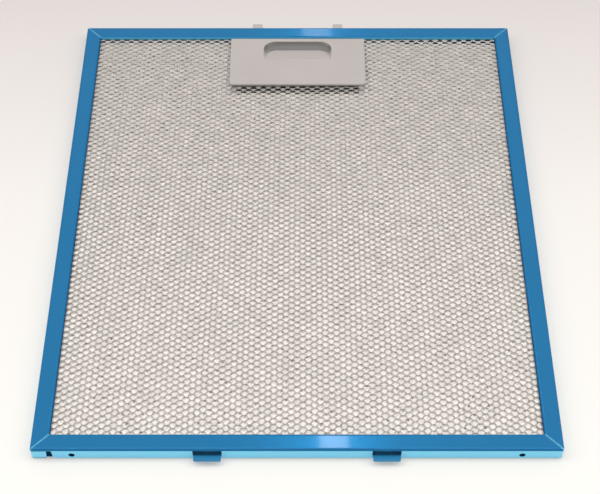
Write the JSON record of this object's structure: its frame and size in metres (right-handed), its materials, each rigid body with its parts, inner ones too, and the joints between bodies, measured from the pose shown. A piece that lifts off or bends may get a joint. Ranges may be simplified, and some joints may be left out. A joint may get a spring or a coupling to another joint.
{
  "type": "cooker hood grease filter",
  "caption": "Flat aluminium mesh grease filter for a cooker hood, with a blue folded frame, lanced hanging tongues and a grey sprung finger latch.",
  "frame": {"origin": "under the middle of the folded frame, on the plane that its lower flange rests on", "axes": "+X across the width, +Y towards the latch and its lugs, +Z out of the face that carries the finger scoop"},
  "size_m": [0.267, 0.315, 0.009],
  "materials": {
    "blue_frame": "glossy blue coat on thin aluminium strip",
    "mesh_aluminium": "bright, slit and stretched",
    "latch_grey": "fine moulded grain",
    "spring_steel": "bright drawn wire",
    "housing_dark": "plain moulded, dark"
  },
  "bodies": {
    "filter": {"frame": "blue_frame", "top_mesh": "mesh_aluminium", "filter_layer_1": "mesh_aluminium", "filter_layer_2": "mesh_aluminium", "filter_layer_3": "mesh_aluminium", "filter_layer_4": "mesh_aluminium", "filter_layer_5": "mesh_aluminium", "bottom_mesh": "mesh_aluminium", "latch_housing": "housing_dark", "latch_spring_left": "spring_steel", "latch_spring_right": "spring_steel"},
    "latch": {"latch_handle": "latch_grey"}
  },
  "joints": [
    {"name": "latch_slide", "type": "slide", "parent": "filter", "child": "latch", "axis": [0, -1, 0], "range_m": [0, 0.0065], "stiffness_N_per_m": 1200, "springref_m": -0.004, "deforming": ["latch_spring_left", "latch_spring_right"]}
  ]
}
